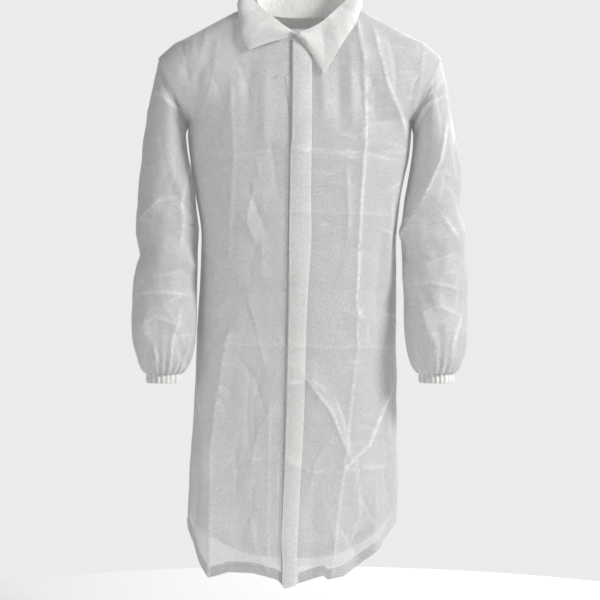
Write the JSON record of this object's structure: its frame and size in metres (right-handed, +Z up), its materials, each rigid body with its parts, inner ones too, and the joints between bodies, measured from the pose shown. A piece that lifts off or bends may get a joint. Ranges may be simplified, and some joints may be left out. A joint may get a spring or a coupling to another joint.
{
  "type": "lab coat",
  "caption": "Long white translucent lab coat of thin nonwoven cloth: pointed collar, covered front placket, dropped shoulders and gathered elastic cuffs.",
  "frame": {"origin": "base of the neck on the centre plane, at the height of the neck point of the shoulder line", "axes": "+Z up, the coat faces -Y, +X is the wearer's left"},
  "size_m": [0.62, 0.2779, 1.1338],
  "materials": {
    "cloth": "matte",
    "doubled_cloth": "matte",
    "thread": "matte",
    "elastic": "matte",
    "hook_and_loop": "matte"
  },
  "bodies": {
    "coat_body": {"back_panel": "cloth", "left_front_side_panel": "cloth", "right_front_side_panel": "cloth", "back_hem": "doubled_cloth", "left_front_side_hem": "doubled_cloth", "right_front_side_hem": "doubled_cloth", "left_placket_top": "doubled_cloth", "right_placket_top": "doubled_cloth", "hook_tab_1": "hook_and_loop", "loop_tab_1": "hook_and_loop", "left_shoulder_seam": "thread", "right_shoulder_seam": "thread", "left_side_seam": "thread", "right_side_seam": "thread", "left_armhole_seam": "thread", "right_armhole_seam": "thread", "collar_stand": "doubled_cloth", "collar_fall_under_ply": "doubled_cloth", "collar_fall_top_ply": "doubled_cloth"},
    "left_front": {"left_front_edge_panel": "cloth", "left_front_edge_hem": "doubled_cloth", "left_placket_flap": "doubled_cloth", "loop_tab_2": "hook_and_loop", "loop_tab_3": "hook_and_loop", "loop_tab_4": "hook_and_loop", "loop_tab_5": "hook_and_loop"},
    "right_front": {"right_front_edge_panel": "cloth", "right_front_edge_hem": "doubled_cloth", "right_placket_facing": "doubled_cloth", "hook_tab_2": "hook_and_loop", "hook_tab_3": "hook_and_loop", "hook_tab_4": "hook_and_loop", "hook_tab_5": "hook_and_loop"},
    "left_collar_leaf": {"left_collar_leaf_under_ply": "doubled_cloth", "left_collar_leaf_top_ply": "doubled_cloth"},
    "right_collar_leaf": {"right_collar_leaf_under_ply": "doubled_cloth", "right_collar_leaf_top_ply": "doubled_cloth"},
    "left_sleeve": {"left_upper_sleeve": "cloth"},
    "left_forearm": {"left_lower_sleeve": "cloth", "left_cuff_casing": "doubled_cloth", "left_cuff_elastic": "elastic"},
    "right_sleeve": {"right_upper_sleeve": "cloth"},
    "right_forearm": {"right_lower_sleeve": "cloth", "right_cuff_casing": "doubled_cloth", "right_cuff_elastic": "elastic"}
  },
  "joints": [
    {"name": "left_front_open", "type": "hinge", "parent": "coat_body", "child": "left_front", "pos_m": [0.024, -0.13, -0.152], "axis": [-0.1338, 0, 0.991], "range_deg": [0, 100]},
    {"name": "right_front_open", "type": "hinge", "parent": "coat_body", "child": "right_front", "pos_m": [-0.024, -0.13, -0.152], "axis": [-0.1338, 0, -0.991], "range_deg": [0, 100]},
    {"name": "left_collar_leaf_flip", "type": "hinge", "parent": "coat_body", "child": "left_collar_leaf", "pos_m": [-0.005, -0.101, -0.071], "axis": [-0.6737, -0.5182, -0.5269], "range_deg": [0, 62]},
    {"name": "right_collar_leaf_flip", "type": "hinge", "parent": "coat_body", "child": "right_collar_leaf", "pos_m": [-0.011, -0.101, -0.07], "axis": [-0.59, 0.5709, 0.5709], "range_deg": [0, 62]},
    {"name": "left_sleeve_raise", "type": "hinge", "parent": "coat_body", "child": "left_sleeve", "pos_m": [0.25, 0, -0.08], "axis": [0, -1, 0], "range_deg": [0, 60]},
    {"name": "left_elbow_bend", "type": "hinge", "parent": "left_sleeve", "child": "left_forearm", "pos_m": [0.251, -0.0855, -0.4204], "axis": [-1, 0, 0], "range_deg": [0, 90]},
    {"name": "right_sleeve_raise", "type": "hinge", "parent": "coat_body", "child": "right_sleeve", "pos_m": [-0.25, 0, -0.08], "axis": [0, 1, 0], "range_deg": [0, 60]},
    {"name": "right_elbow_bend", "type": "hinge", "parent": "right_sleeve", "child": "right_forearm", "pos_m": [-0.251, -0.0855, -0.4204], "axis": [-1, 0, 0], "range_deg": [0, 90]}
  ],
  "couplings": [
    {"joint": "right_front_open", "follows": "left_front_open", "ratio": 1}
  ]
}
